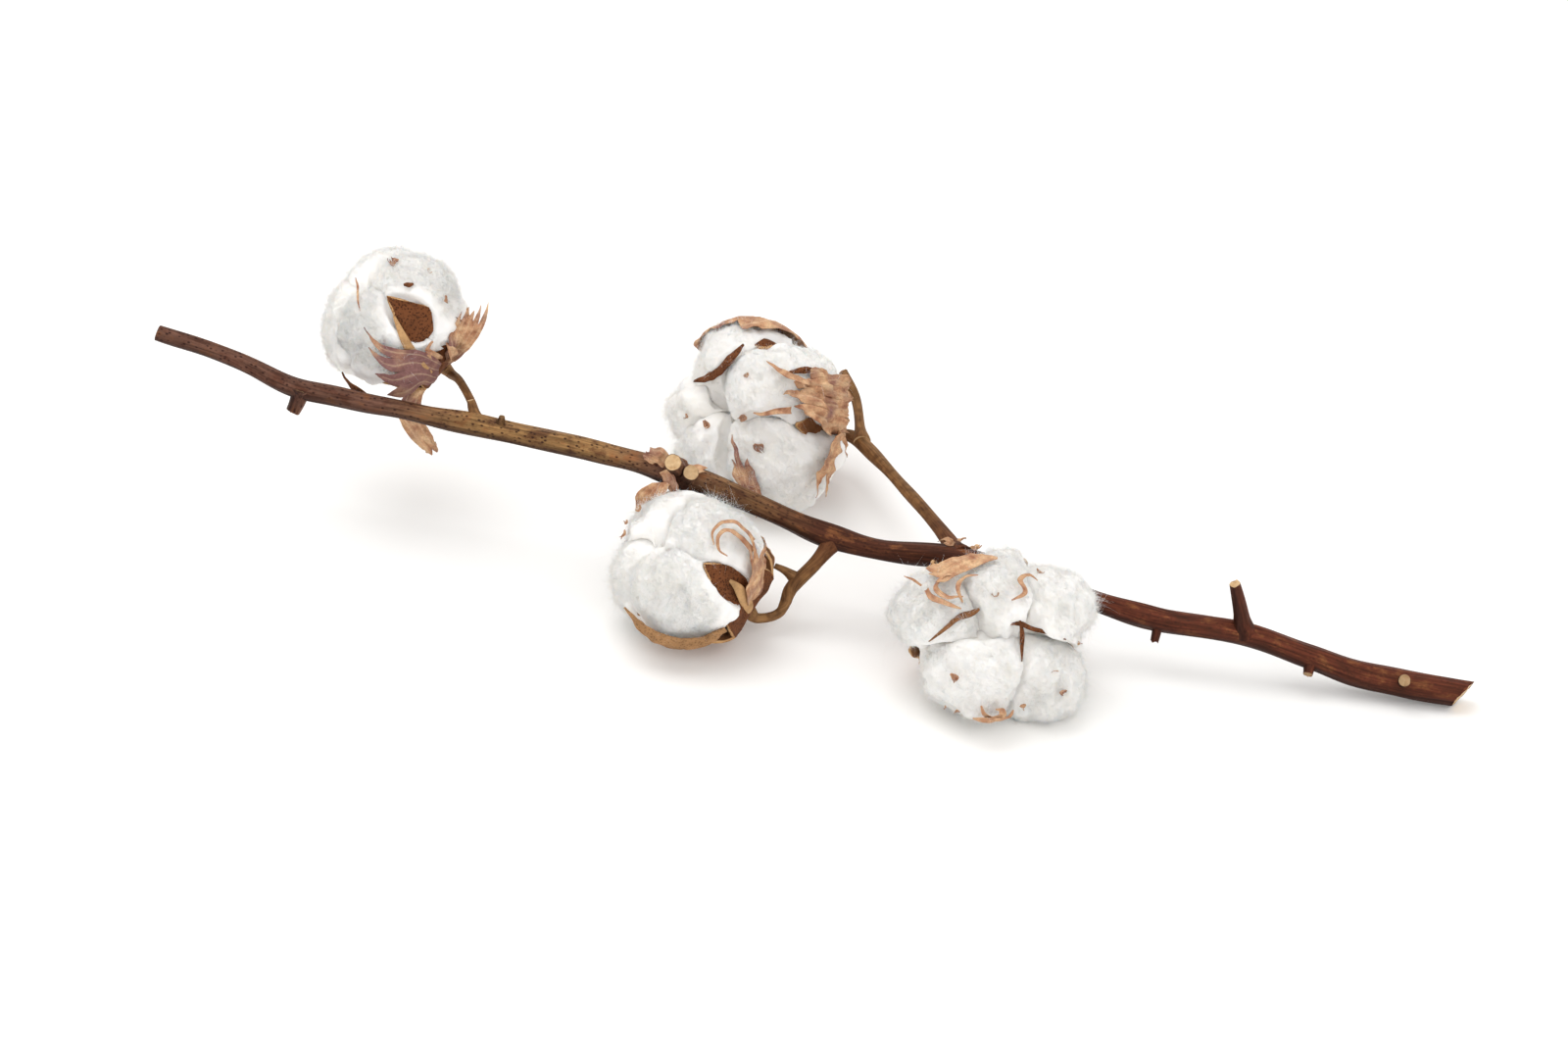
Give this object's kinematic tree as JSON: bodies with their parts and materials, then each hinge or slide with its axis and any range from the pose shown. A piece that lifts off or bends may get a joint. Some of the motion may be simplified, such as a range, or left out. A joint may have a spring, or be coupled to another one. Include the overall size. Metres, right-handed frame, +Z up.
{
  "type": "dried cotton branch with open bolls",
  "caption": "Cut, dried cotton branch with open bolls on short side branches: white lint locks in brown burs with papery bracts, lying on its bolls as a decoration.",
  "frame": {"origin": "centre of the footprint's box on the surface that the branch lies on", "axes": "+X along the branch towards its thick cut end, +Z up, and the front boll opens towards -Y"},
  "size_m": [0.4664, 0.187, 0.0964],
  "materials": {
    "stem_bark": "smooth dry bark, dark reddish brown with lenticels",
    "twig_bark": "fine dry twig bark, olive brown",
    "dry_bur": "dry woody fruit wall, dark and speckled with a pale rim",
    "dry_bract": "thin papery dry leaf, matte, veined",
    "cotton_lint": "loose raw cotton fibre, matte white"
  },
  "bodies": {
    "root": {"boll_1_bract_1": "dry_bract", "boll_1_bract_2": "dry_bract", "boll_1_bract_3": "dry_bract", "boll_1_bur": "dry_bur", "boll_1_lock_1": "cotton_lint", "boll_1_lock_2": "cotton_lint", "boll_1_lock_3": "cotton_lint", "boll_1_lock_4": "cotton_lint", "boll_1_stalk": "twig_bark", "boll_2_bract_1": "dry_bract", "boll_2_bract_2": "dry_bract", "boll_2_bract_3": "dry_bract", "boll_2_bur": "dry_bur", "boll_2_lock_1": "cotton_lint", "boll_2_lock_2": "cotton_lint", "boll_2_lock_3": "cotton_lint", "boll_2_lock_4": "cotton_lint", "boll_2_lock_5": "cotton_lint", "boll_3_bract_1": "dry_bract", "boll_3_bract_2": "dry_bract", "boll_3_bract_3": "dry_bract", "boll_3_bur": "dry_bur", "boll_3_lock_1": "cotton_lint", "boll_3_lock_2": "cotton_lint", "boll_3_lock_3": "cotton_lint", "boll_3_lock_4": "cotton_lint", "boll_4_bract_1": "dry_bract", "boll_4_bract_2": "dry_bract", "boll_4_bract_3": "dry_bract", "boll_4_bur": "dry_bur", "boll_4_lock_1": "cotton_lint", "boll_4_lock_2": "cotton_lint", "boll_4_lock_3": "cotton_lint", "boll_4_lock_4": "cotton_lint", "boll_4_lock_5": "cotton_lint", "boll_4_stalk": "twig_bark", "fruiting_branch_2": "twig_bark", "fruiting_branch_3": "twig_bark", "main_stem": "stem_bark", "stipule_1": "dry_bract", "stipule_2": "dry_bract", "stipule_3": "dry_bract"}
  },
  "joints": []
}
